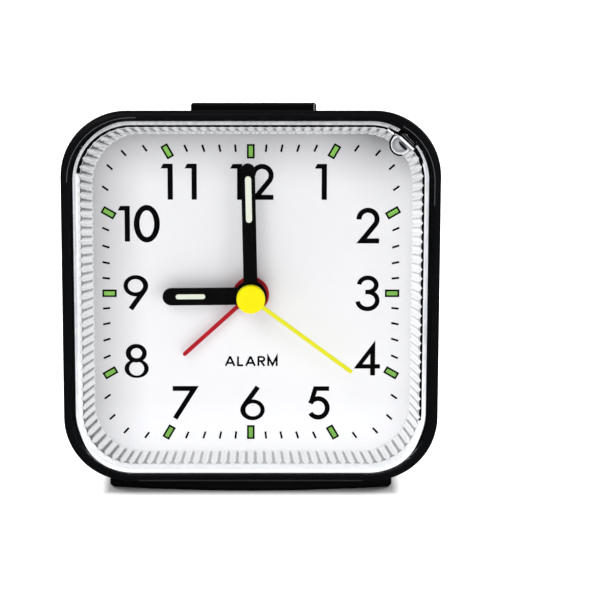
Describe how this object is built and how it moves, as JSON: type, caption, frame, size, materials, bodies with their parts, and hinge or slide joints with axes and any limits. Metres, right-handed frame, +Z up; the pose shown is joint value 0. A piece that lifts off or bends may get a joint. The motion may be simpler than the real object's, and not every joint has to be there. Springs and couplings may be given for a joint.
{
  "type": "alarm clock",
  "caption": "Square battery-powered quartz alarm clock: tapered black case on a plinth, clear raised crystal, fluted light ring, round-tipped hands and top snooze bar.",
  "frame": {"origin": "middle of the clock's footprint, on the surface it stands on", "axes": "+X to the right as the dial is read, +Y from the dial to the back, +Z up"},
  "size_m": [0.08, 0.041, 0.0826],
  "materials": {
    "case_black": "satin",
    "plinth_black": "satin",
    "rear_black": "fine texture",
    "clear_crystal": "polished clear",
    "light_guide": "fluted clear",
    "spacer_white": "gloss",
    "dial_white": "matt print",
    "lamp_lens": "clear",
    "hand_black": "satin paint",
    "hand_red": "satin paint",
    "hand_yellow": "satin paint",
    "cap_yellow": "gloss",
    "luminous": "luminous paint",
    "movement_plate": "moulded",
    "gear_acetal": "moulded",
    "gear_dark": "moulded",
    "steel": "bright",
    "magnet": "sintered",
    "copper": "enamelled wire",
    "contact_metal": "nickel plated",
    "board": "solder mask",
    "chip_black": "moulded",
    "buzzer_black": "moulded",
    "silicone": "translucent",
    "knob_black": "satin",
    "cell_wrap": "printed sleeve"
  },
  "bodies": {
    "root": {"front_case": "case_black", "back_cover": "rear_black", "base_plinth": "plinth_black", "dial": "dial_white", "crystal": "clear_crystal", "light_guide_ring": "light_guide", "spacer_ring": "spacer_white", "night_lamp": "lamp_lens", "case_screws": "steel", "snooze_dome": "silicone", "front_plate": "movement_plate", "middle_plate": "movement_plate", "rear_plate": "movement_plate", "plate_posts": "movement_plate", "movement_screws": "steel", "stator": "steel", "coil_bobbin": "gear_dark", "coil_winding": "copper", "circuit_board": "board", "control_chip": "chip_black", "quartz_can": "contact_metal", "buzzer": "buzzer_black", "snooze_switch": "chip_black", "alarm_switch_contact": "chip_black", "alarm_contact_spring": "contact_metal", "battery_tray": "rear_black", "battery_cell": "cell_wrap", "positive_contact": "contact_metal", "negative_contact": "contact_metal"},
    "second_hand_train": {"second_hand": "hand_yellow", "second_hand_cap": "cap_yellow", "second_arbor": "steel", "second_wheel": "gear_acetal"},
    "minute_hand_train": {"minute_hand": "hand_black", "minute_inlay": "luminous", "cannon_pinion": "gear_dark", "minute_wheel": "gear_acetal"},
    "hour_hand_train": {"hour_hand": "hand_black", "hour_inlay": "luminous", "hour_wheel": "gear_acetal"},
    "third_wheel_train": {"third_arbor": "gear_dark", "third_wheel": "gear_acetal"},
    "intermediate_train": {"intermediate_hub": "gear_dark", "intermediate_wheel": "gear_acetal"},
    "rotor": {"rotor_arbor": "gear_dark", "rotor_magnet": "magnet"},
    "time_setting": {"motion_shaft": "gear_dark", "motion_wheel": "gear_acetal", "time_set_knob": "knob_black"},
    "alarm_hand_train": {"alarm_hand": "hand_red", "alarm_wheel": "gear_acetal"},
    "alarm_setting": {"alarm_set_shaft": "gear_dark", "alarm_set_knob": "knob_black"},
    "snooze": {"snooze_bar": "case_black"},
    "alarm_slider": {"alarm_switch": "knob_black"},
    "door": {"battery_door": "rear_black"}
  },
  "joints": [
    {"name": "second_hand_turn", "type": "hinge", "parent": "root", "child": "second_hand_train", "pos_m": [0, 0, 0.0426], "axis": [0, 1, 0], "continuous": true},
    {"name": "minute_hand_turn", "type": "hinge", "parent": "root", "child": "minute_hand_train", "pos_m": [0, 0, 0.0426], "axis": [0, 1, 0], "continuous": true},
    {"name": "hour_hand_turn", "type": "hinge", "parent": "root", "child": "hour_hand_train", "pos_m": [0, 0, 0.0426], "axis": [0, 1, 0], "continuous": true},
    {"name": "third_wheel_turn", "type": "hinge", "parent": "root", "child": "third_wheel_train", "pos_m": [-0.00852, 0, 0.03663], "axis": [0, 1, 0], "continuous": true},
    {"name": "intermediate_wheel_turn", "type": "hinge", "parent": "root", "child": "intermediate_train", "pos_m": [0.0036, 0, 0.03636], "axis": [0, 1, 0], "continuous": true},
    {"name": "rotor_turn", "type": "hinge", "parent": "root", "child": "rotor", "pos_m": [0.00966, 0, 0.03286], "axis": [0, 1, 0], "continuous": true},
    {"name": "time_set_knob_turn", "type": "hinge", "parent": "root", "child": "time_setting", "pos_m": [-0.00953, 0, 0.0481], "axis": [0, 1, 0], "continuous": true},
    {"name": "alarm_hand_turn", "type": "hinge", "parent": "root", "child": "alarm_hand_train", "pos_m": [0, 0, 0.0426], "axis": [0, 1, 0], "continuous": true},
    {"name": "alarm_set_knob_turn", "type": "hinge", "parent": "root", "child": "alarm_setting", "pos_m": [0.00998, 0, 0.04836], "axis": [0, 1, 0], "continuous": true},
    {"name": "snooze_press", "type": "slide", "parent": "root", "child": "snooze", "axis": [0, 0, -1], "range_m": [0, 0.001], "stiffness_N_per_m": 500, "springref_m": -0.001, "deforming": ["snooze_dome"]},
    {"name": "alarm_switch_slide", "type": "slide", "parent": "root", "child": "alarm_slider", "axis": [1, 0, 0], "range_m": [0, 0.0035]},
    {"name": "battery_door_swing", "type": "hinge", "parent": "root", "child": "door", "pos_m": [0, 0.0168, 0.0148], "axis": [-1, 0, 0], "range_deg": [0, 75]}
  ],
  "couplings": [
    {"joint": "minute_hand_turn", "follows": "second_hand_turn", "ratio": 0.016667},
    {"joint": "hour_hand_turn", "follows": "second_hand_turn", "ratio": 0.0013889},
    {"joint": "third_wheel_turn", "follows": "second_hand_turn", "ratio": -0.13333},
    {"joint": "intermediate_wheel_turn", "follows": "second_hand_turn", "ratio": -5},
    {"joint": "rotor_turn", "follows": "second_hand_turn", "ratio": 30},
    {"joint": "time_set_knob_turn", "follows": "second_hand_turn", "ratio": -0.0055556},
    {"joint": "alarm_set_knob_turn", "follows": "alarm_hand_turn", "ratio": -3}
  ]
}
